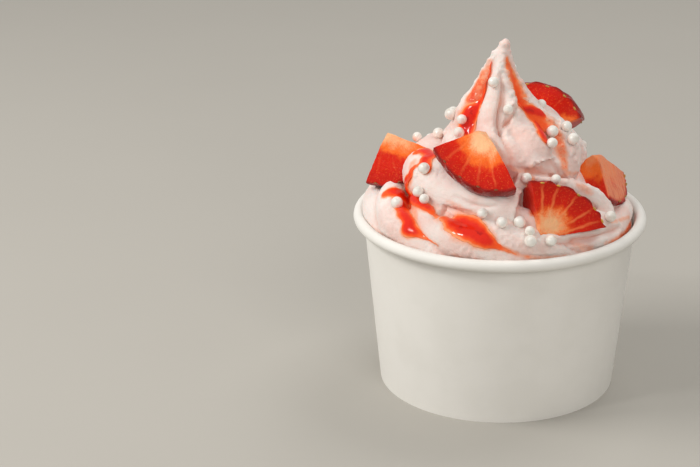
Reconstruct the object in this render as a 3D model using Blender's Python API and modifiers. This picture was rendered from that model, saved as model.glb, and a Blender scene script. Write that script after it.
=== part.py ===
"""A paper cup of soft ice cream with strawberry wedges, sugar pearls and sauce.

The cup stands on z = 0 with its axis on the Z axis, and its front faces -Y.
Azimuths are in degrees round the axis: 0 is the front, 90 the right side.
The tables below are in millimetres and degrees.
"""

import math

import bmesh
import bpy
from mathutils import Euler, Vector
from mathutils.bvhtree import BVHTree

MM = 0.001
GAP = 0.3                       # air between pieces that touch

# The paper cup
CUP_HEIGHT = 59.0
RIM_RADIUS = 48.0               # over the rolled rim
FOOT_RADIUS = 39.0              # outside of the foot
PAPER = 0.5
CURL_RADIUS = 1.9               # of the rolled rim, outside
CURL_TURN = 295.0               # how far the paper rolls round from the wall
CURL_POINTS = 9
FOLD_HEIGHT = 5.0               # the wall's lower edge folds up inside the foot
FOLD_ROOM = 1.2                 # between the wall and its fold, for the bottom's skirt
FLOOR_LEVEL = 6.0               # underside of the bottom disc
CUP_STEPS = 48

# The mound: pairs of height and radius for the cone and for the ring of ribs at its foot,
# pairs of height and lean to the right for the cone's axis
CONE_OUTLINE = ((70, 28), (76, 25.8), (80, 24.4), (84, 23), (88, 20), (92, 16), (96, 12.9),
                (100, 9.7), (104, 7.1), (108, 4.9), (112, 3.1), (116.5, 1.3))
CONE_LEAN = ((70, 3.2), (84, 2.8), (88, 1.4), (92, -0.6), (108, -1.0), (112, -0.7), (116, 1.1))
RING_OUTLINE = ((46, 42.6), (50, 43.4), (57, 44.3), (60.8, 44.3), (64.4, 42.8),
                (68.5, 38.5), (71.5, 33.5), (74, 28))
RING_LEAN = ((0, -0.8),)

# Pleats of the cone, each a row of (azimuth, height, thickness) from the top down
PLEATS = (
    ((-66, 114, 1.2), (-76, 108, 2.6), (-80, 102, 4.0), (-82, 96, 5.8), (-82, 91, 7.0),
     (-72, 86, 7.6), (-54, 81.5, 7.6)),
    ((14, 113.5, 1.2), (2, 107, 2.4), (-8, 101, 3.8), (-13, 96, 5.0), (-12, 91, 5.8), (0, 86.5, 6.0),
     (12, 82, 6.0)),
    ((28, 113, 1.0), (25, 107, 1.8), (23, 102, 2.2), (22, 98, 2.2)),
    ((28, 100, 0.4), (27, 96.8, 3.2), (25, 93, 6.4), (22, 88.6, 9.0), (22, 84.4, 10.0), (24, 80, 9.4),
     (28, 75.5, 6.6)),
    ((80, 113.5, 0.8), (78, 108, 1.8), (74, 103, 2.8), (72, 98, 3.8), (74, 94, 4.6), (80, 89, 5.8),
     (84, 85, 6.0)),
    ((108, 92, 1.5), (98, 89.6, 4.4), (86, 86.8, 6.4), (73, 83.2, 7.4), (58, 79.6, 7.4),
     (42, 77.5, 6.0)),
)
BACK_PLEAT_AZIMUTHS = (125, 178, 232)
BACK_PLEAT = ((-6, 113.5, 1.2), (-6, 107, 2.2), (-4, 101, 3.8), (0, 95, 5.6), (8, 88, 7.4),
              (20, 81, 7.8))

# Ribs of the ring, all swept alike; they sit closer together at the front left
RIB_AZIMUTHS = (-95, -58, -20, 11, 40, 68, 100, 133, 166, 199, 232)
RIB_DIP = 4.5                   # how much lower the ribs lie at the right
RIB_DIP_AZIMUTH = 88
RIB_DIP_SPREAD = 36
RIB = ((-32, 71.8, 3.0), (-15, 68.5, 4.8), (0, 64.2, 5.8), (14, 60.2, 6.2), (30, 55, 6.2),
       (42, 50, 6.0))

# Rolls between cone and ring, each a row of (azimuth, radius, height, thickness)
FRONT_ROLL = ((-170, 21, 71, 8), (-130, 22, 72.5, 8.4), (-90, 23, 73, 8.4), (-58, 25, 72.6, 8.4),
              (-28, 26, 71.2, 8.6), (-3, 28, 69.6, 8.2), (11, 29.5, 68.6, 7.6))
RIGHT_ROLL = ((10, 20, 75, 7), (30, 22.5, 71.5, 7), (50, 25.5, 66.5, 7), (66, 28, 61.5, 6.5),
              (82, 30, 56.5, 6))
LIP = ((24, 26, 78, 1.0), (38, 27.6, 76, 2.0), (54, 30, 72.8, 2.6), (64, 33.6, 69.2, 2.6),
       (67, 36.4, 65.6, 2.4), (66, 38.6, 63, 1.8))
RIGHT_EDGE = ((60, 38.6, 58, 3), (74, 39.6, 59.4, 3.5), (90, 40, 59.6, 3.6), (106, 39.4, 57.8, 3))
BACK_ROLL_AZIMUTHS = (100, 142)
BACK_ROLL = ((0, 21, 77, 7), (25, 24, 74, 8.5), (50, 27, 70.5, 9), (75, 30, 65, 8))

# The tip, as (x, y, height, thickness), and the solid middle, as (radius, height)
TIP = ((1.2, 0.3, 98, 4.6), (-0.2, 0.2, 105, 3.4), (-0.8, 0, 109.5, 2.9), (-0.4, 0, 112.1, 2.3),
       (0.7, 0, 115, 1.6), (1.4, 0, 116.3, 1.1))
CORE = ((1, 110), (3, 104), (6.5, 98), (12, 90), (17, 83), (22, 77), (26, 72), (30, 67),
        (34, 62.5), (39.5, 57.5), (42.8, 53), (42.4, 45), (38.2, 6.8))

OVERHANG = 1.0                  # how far the mound stops inside the rim's outside
VOXEL = 1.1                     # of the grid that fuses the strokes
SMOOTH_STEPS = 2
ICE_TRIANGLES = 4700            # before the pearls

# Sauce, each run a row of (azimuth, level, half width). A level is where a line that comes
# in at 45 degrees would meet the axis, so it tells the mound's top from its foot.
SAUCE_HEIGHT = 0.7
SAUCE_RUNS = (
    ((-58, 106, 0.6), (-50, 101, 0.7), (-51, 96, 0.8), (-46, 90.5, 1.1), (-50, 86, 2.4), (-56, 82, 3.3),
     (-58, 78, 3.4), (-53, 74.5, 3.2)),
    ((34, 86.5, 1.2), (43, 85.5, 2.2), (54, 84, 2.4), (63, 80.5, 1.8), (67, 78, 1.0)),
    ((52, 78, 1.8), (52, 75, 2.5), (46, 71, 2.6), (43, 66.5, 1.4)),
    ((-76, 52, 1.4), (-72, 55.5, 2.4), (-62, 56, 2.6), (-57, 52, 2.6), (-46, 47.5, 1.6)),
    ((-60, 48, 1.0), (-62, 45, 1.3), (-60, 42.5, 1.5), (-66, 38.5, 2.4)),
    ((-69, 29.5, 2.0), (-68, 33, 3.2), (-66, 37, 3.2), (-58, 35, 3.6), (-50, 35, 2.4), (-44, 33.5, 2.0),
     (-37, 32.8, 2.0), (-32, 30.4, 1.1)),
    ((-62, 31, 2.4), (-55, 29, 2.6), (-49, 26.5, 2.4), (-43, 23.8, 2.2), (-41, 20.5, 3.0), (-37, 20.3, 2.0),
     (-31, 19.3, 0.8), (-24, 17, 0.6)),
    ((-27, 31, 2.4), (-22, 29.5, 4.0), (-16, 27.5, 4.9), (-10, 25, 4.6), (-6, 22, 3.2), (-2, 20, 1.6),
     (3, 18.3, 0.8), (9, 16.5, 0.6)),
    ((150, 104, 0.8), (148, 92, 1.6), (150, 80, 3.0), (154, 70, 3.4), (156, 62, 1.6)),
    ((196, 66, 1.2), (206, 56, 3.0), (214, 44, 4.2), (224, 32, 4.4), (236, 22, 2.4), (246, 18, 0.8)),
)

# Sugar pearls as (azimuth, level)
PEARL_RADIUS = 2.0
PEARL_SUNK = 0.6
PEARL_MOVES = 4                 # steps that shift a pearl off a strawberry and back to the mound
BERRY_DEPTH = 8.0               # no point inside a strawberry is further from its surface
CONE_PEARLS = ((-16, 97), (8, 86.5), (-85, 76), (-62, 78), (-55, 71), (-108, 60),
               (105, 81), (62, 71), (45, 65), (72, 68), (67, 62))
LEFT_PEARLS = ((-108, 50.5), (-49, 48), (-47, 39), (-42, 35), (-57, 28))
FRONT_PEARLS = ((-8, 35), (1, 29), (10, 30), (13, 25), (13, 21), (21, 20.5),
                (18, 49), (12, 45), (36, 48.5), (59, 24))
BACK_PEARLS = ((160, 99), (148, 62), (164, 88), (171, 57), (186, 74), (203, 83), (219, 60),
               (238, 71), (105, 33), (128, 41), (149, 24), (160, 38), (178, 30), (201, 24),
               (230, 46), (252, 37))
PEARLS = CONE_PEARLS + LEFT_PEARLS + FRONT_PEARLS + BACK_PEARLS

# Strawberry wedges: place, turn, shoulder radius, length and fullness of the outline
OUTLINE_STEPS = 9               # along a wedge's skin
ROUND_STEPS = 36                # round a whole strawberry
STRAWBERRIES = {
    "strawberry_left": ((-37.6, 0.4, 84.6), (-26, 12, -23), 18.0, 18.0, 2.1),
    "strawberry_front": ((-4.8, -20.6, 93.7), (-24, 47, 92), 18.2, 23.6, 2.1),
    "strawberry_right_front": ((13.1, -39.9, 64.0), (-99, -68, 120), 18.6, 22.3, 1.75),
    "strawberry_right": ((31.5, 3.2, 78.1), (-46, 37, 45), 17.2, 19.3, 2.0),
    "strawberry_back": ((8.5, 16.6, 78.5), (-140, -57, 122), 18.4, 20.1, 2.0),
}


def remove_everything():
    """Empty the file of objects and collections."""
    for thing in list(bpy.data.objects):
        bpy.data.objects.remove(thing, do_unlink=True)
    for group in list(bpy.data.collections):
        bpy.data.collections.remove(group)


def new_collection(name):
    group = bpy.data.collections.new(name)
    bpy.context.scene.collection.children.link(group)
    return group


def add_object(name, data, group):
    thing = bpy.data.objects.new(name, data)
    group.objects.link(thing)
    return thing


def paint(thing, colour, roughness, metallic=0.0):
    """Give a piece its own material."""
    finish = bpy.data.materials.new(thing.name + "_finish")
    finish.use_nodes = True
    shader = finish.node_tree.nodes["Principled BSDF"]
    shader.inputs["Base Color"].default_value = (*colour, 1.0)
    shader.inputs["Roughness"].default_value = roughness
    shader.inputs["Metallic"].default_value = metallic
    thing.data.materials.clear()
    thing.data.materials.append(finish)


def baked(thing, group):
    """Replace a piece by the mesh that its modifiers or its curve make."""
    graph = bpy.context.evaluated_depsgraph_get()
    graph.update()
    mesh = bpy.data.meshes.new_from_object(thing.evaluated_get(graph))
    name = thing.name
    place = thing.matrix_world.copy()
    bpy.data.objects.remove(thing, do_unlink=True)
    solid = add_object(name, mesh, group)
    solid.matrix_world = place
    return solid


def edit_mesh(thing, change):
    """Run a function on a piece's bmesh."""
    work = bmesh.new()
    work.from_mesh(thing.data)
    change(work)
    work.to_mesh(thing.data)
    work.free()
    thing.data.update()


def interpolate(value, table):
    """Read a table of (key, result) pairs at a value between its keys."""
    if value <= table[0][0]:
        return table[0][1]
    for (low, first), (high, second) in zip(table, table[1:]):
        if value <= high:
            return first + (second - first) * (value - low) / (high - low)
    return table[-1][1]


def round_axis(azimuth, radius, height, lean=0.0):
    """A point in millimetres, from its azimuth, radius and height."""
    angle = math.radians(azimuth)
    return Vector((lean + radius * math.sin(angle), -radius * math.cos(angle), height))


def inside_outline(outline, lean, azimuth, height, thickness):
    """Centre of a round stroke that touches an outline from inside."""
    slope = interpolate(height + 0.5, outline) - interpolate(height - 0.5, outline)
    length = math.hypot(1.0, slope)
    radius = max(interpolate(height, outline) - thickness / length, 0.0)
    level = height + thickness * slope / length
    return (*round_axis(azimuth, radius, level, interpolate(level, lean)), thickness)


# ---- the cup ----

def wall_radius(height):
    """Radius of the middle of the wall's paper."""
    top = RIM_RADIUS - 2 * CURL_RADIUS + PAPER / 2
    curl_level = CUP_HEIGHT - CURL_RADIUS
    return FOOT_RADIUS - PAPER / 2 + (top - FOOT_RADIUS + PAPER / 2) * height / curl_level


def paper_shell(name, line, group):
    """Turn a line of (radius, height) round the axis and give it the paper's thickness."""
    mesh = bpy.data.meshes.new(name)
    points = [(radius * MM, 0.0, height * MM) for radius, height in line]
    mesh.from_pydata(points, [(i, i + 1) for i in range(len(points) - 1)], [])
    shell = add_object(name, mesh, group)
    screw = shell.modifiers.new("Turn", "SCREW")
    screw.steps = CUP_STEPS
    screw.render_steps = CUP_STEPS
    screw.use_merge_vertices = True
    screw.merge_threshold = 0.00001
    screw.use_smooth_shade = True
    paper = shell.modifiers.new("Paper", "SOLIDIFY")
    paper.thickness = PAPER * MM
    paper.offset = 0.0
    paper.use_even_offset = True
    return shell


def make_cup_wall(group):
    """The tapered wall, rolled over at the rim and folded in at the foot."""
    middle = CURL_RADIUS - PAPER / 2
    curl = []
    for i in range(CURL_POINTS + 1):
        angle = math.radians(180.0 - CURL_TURN * (1.0 - i / CURL_POINTS))
        curl.append((RIM_RADIUS - CURL_RADIUS + middle * math.cos(angle),
                     CUP_HEIGHT - CURL_RADIUS + middle * math.sin(angle)))
    fold = FOLD_ROOM + PAPER
    foot = [(wall_radius(PAPER / 2), PAPER / 2),
            (wall_radius(PAPER / 2) - fold, PAPER / 2),
            (wall_radius(FOLD_HEIGHT) - fold, FOLD_HEIGHT)]
    return paper_shell("cup_wall", curl + foot, group)


def make_cup_bottom(group):
    """The bottom disc, with a skirt that stands between the wall and its fold."""
    middle = FLOOR_LEVEL + PAPER / 2
    skirt_offset = (FOLD_ROOM + PAPER) / 2
    skirt_end = PAPER + GAP
    line = [(0.0, middle),
            (wall_radius(middle) - skirt_offset, middle),
            (wall_radius(skirt_end) - skirt_offset, skirt_end)]
    return paper_shell("cup_bottom", line, group)


# ---- the ice cream ----

def make_stroke(points, group):
    """A round stroke of ice cream through points of (x, y, z, thickness)."""
    curve = bpy.data.curves.new("stroke", "CURVE")
    curve.dimensions = "3D"
    curve.bevel_depth = MM
    curve.bevel_resolution = 4
    curve.resolution_u = 8
    curve.use_fill_caps = True
    spline = curve.splines.new("BEZIER")
    spline.bezier_points.add(len(points) - 1)
    for knot, (x, y, z, thickness) in zip(spline.bezier_points, points):
        knot.co = Vector((x, y, z)) * MM
        knot.radius = thickness
        knot.handle_left_type = "AUTO"
        knot.handle_right_type = "AUTO"
    return add_object("stroke", curve, group)


def make_core(group):
    """The solid middle of the mound, down to the bottom of the cup."""
    mesh = bpy.data.meshes.new("core")
    line = [(0.0, CORE[0][1])] + list(CORE) + [(0.0, CORE[-1][1])]
    points = [(radius * MM, 0.0, height * MM) for radius, height in line]
    mesh.from_pydata(points, [(i, i + 1) for i in range(len(points) - 1)], [])
    core = add_object("core", mesh, group)
    screw = core.modifiers.new("Turn", "SCREW")
    screw.steps = CUP_STEPS
    screw.render_steps = CUP_STEPS
    screw.use_merge_vertices = True
    screw.merge_threshold = 0.00001
    return core


def rib_dip(x, y):
    """How much lower a point of a rib lies than at the left."""
    azimuth = math.degrees(math.atan2(x, -y))
    away = (azimuth - RIB_DIP_AZIMUTH) / RIB_DIP_SPREAD
    return RIB_DIP * math.exp(-away ** 2)


def stroke_rows():
    """Every stroke of the mound as rows of (x, y, z, thickness)."""
    rows = [list(TIP)]
    for pleat in PLEATS:
        rows.append([inside_outline(CONE_OUTLINE, CONE_LEAN, *point) for point in pleat])
    for start in BACK_PLEAT_AZIMUTHS:
        rows.append([inside_outline(CONE_OUTLINE, CONE_LEAN, start + a, h, t)
                     for a, h, t in BACK_PLEAT])
    for start in RIB_AZIMUTHS:
        rows.append([inside_outline(RING_OUTLINE, RING_LEAN, start + a, h, t) for a, h, t in RIB])
        rows[-1] = [(x, y, z - rib_dip(x, y), t) for x, y, z, t in rows[-1]]
    for roll in (FRONT_ROLL, RIGHT_ROLL, LIP, RIGHT_EDGE):
        rows.append([(*round_axis(a, r, h), t) for a, r, h, t in roll])
    for start in BACK_ROLL_AZIMUTHS:
        rows.append([(*round_axis(start + a, r, h), t) for a, r, h, t in BACK_ROLL])
    return rows


def keep_in_cup(work):
    """Draw every point of the mound inside the cup's wall and its rolled rim."""
    curl_radius = RIM_RADIUS - CURL_RADIUS
    curl_level = CUP_HEIGHT - CURL_RADIUS
    for point in work.verts:
        radius = math.hypot(point.co.x, point.co.y) / MM
        height = point.co.z / MM
        if height < curl_level:
            limit = wall_radius(height) - PAPER / 2 - GAP
        else:
            rise = min(height - curl_level, CURL_RADIUS + GAP)
            limit = curl_radius - math.sqrt((CURL_RADIUS + GAP) ** 2 - rise ** 2)
        if height > CUP_HEIGHT + GAP:
            limit = RIM_RADIUS - OVERHANG
        if radius > limit:
            point.co.x *= limit / radius
            point.co.y *= limit / radius


def landing(tree, azimuth, level):
    """Where a line that comes in at 45 degrees, aimed at the axis at a level, meets the mound."""
    reach = 60.0
    start = round_axis(azimuth, reach, level + reach) * MM
    aim = Vector((0.0, 0.0, level * MM)) - start
    place, normal, _, _ = tree.ray_cast(start, aim.normalized())
    return place, normal


def raise_sauce(mound):
    """Raise the mound's surface where the thick sauce lies, highest along each run."""
    work = bmesh.new()
    work.from_mesh(mound.data)
    tree = BVHTree.FromBMesh(work)
    runs = []
    for run in SAUCE_RUNS:
        runs.append([(landing(tree, azimuth, level)[0], half) for azimuth, level, half in run])
    work.normal_update()
    for point in work.verts:
        cover = max(run_cover(point.co, run) for run in runs)
        if cover > 0.0:
            point.co += point.normal * SAUCE_HEIGHT * MM * math.sqrt(cover)
    work.to_mesh(mound.data)
    work.free()


def run_cover(place, run):
    """1 on the middle of a run of sauce, falling to 0 at its edge and beyond."""
    best = 0.0
    for (start, first), (end, second) in zip(run, run[1:]):
        along = end - start
        t = max(0.0, min(1.0, (place - start).dot(along) / along.length_squared))
        half = (first + (second - first) * t) * MM
        best = max(best, 1.0 - (place - start - along * t).length / half)
    return best


def make_mound(group):
    """Fuse core and strokes into one mound and thin its mesh."""
    pieces = [make_core(group)] + [make_stroke(row, group) for row in stroke_rows()]
    pieces = [baked(piece, group) for piece in pieces]
    bpy.ops.object.select_all(action="DESELECT")
    for piece in pieces:
        piece.select_set(True)
    bpy.context.view_layer.objects.active = pieces[0]
    bpy.ops.object.join()
    mound = bpy.context.view_layer.objects.active
    mound.name = "ice_cream"
    fuse = mound.modifiers.new("Fuse", "REMESH")
    fuse.mode = "VOXEL"
    fuse.voxel_size = VOXEL * MM
    soften = mound.modifiers.new("Soften", "SMOOTH")
    soften.iterations = SMOOTH_STEPS
    mound = baked(mound, group)
    edit_mesh(mound, keep_in_cup)
    raise_sauce(mound)
    thin = mound.modifiers.new("Thin", "DECIMATE")
    thin.ratio = ICE_TRIANGLES / (2 * len(mound.data.polygons))
    thin.use_collapse_triangulate = True
    return baked(mound, group)


def make_pearls(mound, berries, group):
    """Balls that sit in the mound's surface, clear of the strawberries."""
    tree = BVHTree.FromObject(mound, bpy.context.evaluated_depsgraph_get())
    for azimuth, level in PEARLS:
        place, normal = landing(tree, azimuth, level)
        centre = place + normal * (PEARL_RADIUS - PEARL_SUNK) * MM
        for _ in range(PEARL_MOVES):
            for berry in berries:
                centre = moved_clear(centre, berry)
            place, normal, _, _ = tree.find_nearest(centre)
            centre = place + normal * (PEARL_RADIUS - PEARL_SUNK) * MM
        if any(near_berry(centre, berry) for berry in berries):
            continue
        bpy.ops.mesh.primitive_ico_sphere_add(subdivisions=2, radius=PEARL_RADIUS * MM,
                                              location=centre)
        pearl = bpy.context.object
        for other in list(pearl.users_collection):
            other.objects.unlink(pearl)
        group.objects.link(pearl)


def moved_clear(centre, berry):
    """The centre of a pearl, pushed away from a strawberry that it would touch."""
    local = berry.matrix_world.inverted() @ centre
    _, near, normal, _ = berry.closest_point_on_mesh(local)
    offset = local - near
    room = (PEARL_RADIUS + 2 * GAP) * MM
    if offset.dot(normal) <= 0.0 or offset.length >= room:
        return centre
    return berry.matrix_world @ (near + offset * (room / offset.length))


def near_berry(centre, berry):
    """Whether a pearl with this centre would touch a strawberry or lie inside it."""
    local = berry.matrix_world.inverted() @ centre
    _, near, normal, _ = berry.closest_point_on_mesh(local)
    offset = local - near
    inside = offset.dot(normal) < 0.0 and offset.length < BERRY_DEPTH * MM
    return inside or offset.length < (PEARL_RADIUS + 1.2 * GAP) * MM


def combine(thing, operation, others, group):
    """Join or cut a piece with all the objects of a collection, then remove those."""
    step = thing.modifiers.new("Combine", "BOOLEAN")
    step.operation = operation
    step.operand_type = "COLLECTION"
    step.collection = others
    result = baked(thing, group)
    for other in list(others.objects):
        bpy.data.objects.remove(other, do_unlink=True)
    return result


def drop_scraps(work):
    """Keep only the largest connected body."""
    left = set(work.verts)
    bodies = []
    while left:
        body = set()
        edge = [left.pop()]
        while edge:
            point = edge.pop()
            body.add(point)
            for side in point.link_edges:
                other = side.other_vert(point)
                if other in left:
                    left.remove(other)
                    edge.append(other)
        bodies.append(body)
    bodies.sort(key=len)
    for body in bodies[:-1]:
        bmesh.ops.delete(work, geom=list(body), context="VERTS")


# ---- the strawberries ----

def wedge_mesh(name, radius, length, fullness, grow=0.0):
    """A quarter of a turned strawberry without its cap.

    Its axis edge runs from the origin down to the tip, and its cut faces are the
    planes x = 0, y = 0 and z = 0. Grow moves every face outwards.
    """
    line = [(0.0, grow)]
    for i in range(OUTLINE_STEPS + 1):
        angle = math.radians(90.0 * i / OUTLINE_STEPS)
        across = (radius + grow) * math.cos(angle) ** (2.0 / fullness)
        down = (length + 2.0 * grow) * math.sin(angle) ** (2.0 / fullness)
        line.append((across if i < OUTLINE_STEPS else 0.0, grow - down))
    mesh = bpy.data.meshes.new(name)
    points = [(r * MM, 0.0, z * MM) for r, z in line]
    mesh.from_pydata(points, [(i, i + 1) for i in range(len(points) - 1)], [])
    work = bmesh.new()
    work.from_mesh(mesh)
    bmesh.ops.spin(work, geom=work.verts[:] + work.edges[:], axis=(0, 0, 1), cent=(0, 0, 0),
                   angle=math.tau, steps=ROUND_STEPS, use_merge=True)
    bmesh.ops.remove_doubles(work, verts=work.verts, dist=0.000001)
    for normal in ((1, 0, 0), (0, 1, 0)):
        everything = work.verts[:] + work.edges[:] + work.faces[:]
        plane = Vector(normal) * -grow * MM
        bmesh.ops.bisect_plane(work, geom=everything, dist=0.000001, plane_co=plane,
                               plane_no=normal, clear_inner=True)
        bmesh.ops.holes_fill(work, edges=[edge for edge in work.edges if edge.is_boundary])
    bmesh.ops.triangulate(work, faces=work.faces[:])
    bmesh.ops.recalc_face_normals(work, faces=work.faces[:])
    work.to_mesh(mesh)
    work.free()
    return mesh


def make_strawberry(name, group, grow=0.0):
    place, turn, radius, length, fullness = STRAWBERRIES[name]
    berry = add_object(name, wedge_mesh(name, radius, length, fullness, grow), group)
    berry.location = Vector(place) * MM
    berry.rotation_euler = Euler([math.radians(angle) for angle in turn])
    return berry


def main():
    remove_everything()
    parts = new_collection("ice_cream_cup")
    tools = new_collection("cutters")
    wall = make_cup_wall(parts)
    paint(wall, (0.80, 0.78, 0.73), 0.55)
    bottom = make_cup_bottom(parts)
    paint(bottom, (0.80, 0.78, 0.73), 0.60)
    berries = [make_strawberry(name, parts) for name in STRAWBERRIES]
    for berry in berries:
        paint(berry, (0.62, 0.03, 0.015), 0.30)
    bpy.context.view_layer.update()
    mound = make_mound(parts)
    make_pearls(mound, berries, tools)
    mound = combine(mound, "UNION", tools, parts)
    for name in STRAWBERRIES:
        make_strawberry(name, tools, GAP)
    mound = combine(mound, "DIFFERENCE", tools, parts)
    edit_mesh(mound, drop_scraps)
    mound.name = "ice_cream"
    paint(mound, (0.88, 0.66, 0.63), 0.50)


main()
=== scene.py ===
import math

import bmesh
import bpy
import numpy as np
from mathutils import Euler, Matrix, Vector, noise
from mathutils.bvhtree import BVHTree


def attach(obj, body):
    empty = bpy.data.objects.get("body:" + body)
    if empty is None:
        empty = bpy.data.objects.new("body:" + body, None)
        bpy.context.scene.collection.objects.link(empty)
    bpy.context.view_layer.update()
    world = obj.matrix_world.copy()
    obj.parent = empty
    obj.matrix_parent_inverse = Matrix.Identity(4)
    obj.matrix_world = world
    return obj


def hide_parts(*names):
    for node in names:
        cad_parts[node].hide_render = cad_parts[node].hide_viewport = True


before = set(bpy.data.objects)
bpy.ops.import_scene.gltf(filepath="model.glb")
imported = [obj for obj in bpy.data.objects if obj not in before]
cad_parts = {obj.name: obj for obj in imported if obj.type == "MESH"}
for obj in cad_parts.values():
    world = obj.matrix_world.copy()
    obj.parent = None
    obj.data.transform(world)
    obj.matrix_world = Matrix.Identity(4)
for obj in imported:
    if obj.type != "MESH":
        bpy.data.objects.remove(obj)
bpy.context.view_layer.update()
print("frame loaded")

mm = 0.001
gap = 0.05                     # air between the ice cream and the paper, in mm
noiseStep = (7.3, 3.1, 5.7)    # how far apart two seeds read the noise


def selectOnly(*pieces):
    bpy.ops.object.select_all(action="DESELECT")
    for piece in pieces:
        piece.select_set(True)
    bpy.context.view_layer.objects.active = pieces[0]


def setMode(mode):
    bpy.ops.object.mode_set(mode=mode)


def applyAll(piece):
    selectOnly(piece)
    for step in list(piece.modifiers):
        bpy.ops.object.modifier_apply(modifier=step.name)


def settle(piece):
    selectOnly(piece)
    bpy.ops.object.transform_apply(location=True, rotation=True, scale=True)


def joinPieces(pieces, name):
    selectOnly(*pieces)
    bpy.ops.object.join()
    joined = bpy.context.object
    joined.name = name
    joined.data.name = name
    return joined


def fuseSkin(piece, voxel, rounds):       # one even skin over all that overlaps
    fuse = piece.modifiers.new("Fuse", "REMESH")
    fuse.mode = "VOXEL"
    fuse.voxel_size = voxel
    soften = piece.modifiers.new("Soften", "SMOOTH")
    soften.iterations = rounds
    applyAll(piece)


def smoothUpTo(piece, angle):             # edges sharper than this stay sharp
    selectOnly(piece)
    bpy.ops.object.shade_smooth_by_angle(angle=math.radians(angle))


def faceOutwards(piece):
    selectOnly(piece)
    setMode("EDIT")
    bpy.ops.mesh.select_all(action="SELECT")
    bpy.ops.mesh.normals_make_consistent(inside=False)
    setMode("OBJECT")


def cutOff(place, direction):             # in edit mode; what lies behind this plane goes
    bpy.ops.mesh.select_all(action="SELECT")
    bpy.ops.mesh.bisect(plane_co=place, plane_no=direction, use_fill=True, clear_inner=True)


def growOn(extrude, rise, scale):         # in edit mode, from what is selected
    extrude(TRANSFORM_OT_translate={"value": (0, 0, rise * mm)})
    bpy.ops.transform.resize(value=(scale, scale, 1), center_override=(0, 0, 0))


def makeRound(line, sides, fill, extrude):            # a line of radius and height, turned about the axis
    bpy.ops.object.select_all(action="DESELECT")
    bpy.ops.mesh.primitive_circle_add(vertices=sides, radius=line[0][0] * mm, fill_type=fill,
                                      location=(0, 0, line[0][1] * mm))
    piece = bpy.context.object
    settle(piece)
    setMode("EDIT")
    bpy.ops.mesh.select_all(action="SELECT")
    for (radius, height), (nextRadius, nextHeight) in zip(line, line[1:]):
        growOn(extrude, nextHeight - height, nextRadius / radius)
    setMode("OBJECT")
    return piece


def readRows(rows, name):
    values = np.empty(len(rows) * 3)
    rows.foreach_get(name, values)
    return values.reshape(-1, 3)


def readPoints(mesh):
    return readRows(mesh.vertices, "co")


def readNormals(mesh):
    return readRows(mesh.vertex_normals, "vector")


def writePoints(mesh, points):
    mesh.vertices.foreach_set("co", points.reshape(-1))
    mesh.update()


def writeValues(mesh, name, values):
    layer = mesh.attributes.get(name) or mesh.attributes.new(name, "FLOAT", "POINT")
    layer.data.foreach_set("value", values.astype(np.float32))


def asShare(values):                      # kept between 0 and 1
    return np.clip(values, 0.0, 1.0)


def noiseAt(points, size, seed):          # smooth noise, about -1 to 1, in lumps of this size
    shift = Vector([seed * step for step in noiseStep])
    return np.array([noise.noise(Vector(p) / size + shift) for p in points])


def neighbourMeans(mesh, values, rounds):
    edges = np.empty(len(mesh.edges) * 2, int)
    mesh.edges.foreach_get("vertices", edges)
    first, second = edges.reshape(-1, 2).T
    count = np.bincount(edges, minlength=len(values)).astype(float)
    shape = (-1,) + (1,) * (values.ndim - 1)
    for _ in range(rounds):
        total = np.zeros_like(values)
        np.add.at(total, first, values[second])
        np.add.at(total, second, values[first])
        values = total / np.maximum(count, 1.0).reshape(shape)
    return values


class Wire:
    def __init__(self, finish, socket):
        self.finish = finish
        self.socket = socket

    def __add__(self, other):
        return self.finish.calc("ADD", self, other)

    def __radd__(self, other):
        return self.finish.calc("ADD", other, self)

    def __sub__(self, other):
        return self.finish.calc("SUBTRACT", self, other)

    def __rsub__(self, other):
        return self.finish.calc("SUBTRACT", other, self)

    def __mul__(self, other):
        return self.finish.calc("MULTIPLY", self, other)

    def __rmul__(self, other):
        return self.finish.calc("MULTIPLY", other, self)

    def __truediv__(self, other):
        return self.finish.calc("DIVIDE", self, other)

    def __pow__(self, other):
        return self.finish.calc("POWER", self, other)

    def fade(self, start, end):           # 0 at start, 1 at end, smooth between
        return self.finish.add("ShaderNodeMapRange", {"interpolation_type": "SMOOTHSTEP"},
                               {"Value": self, "From Min": start, "From Max": end})


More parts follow.
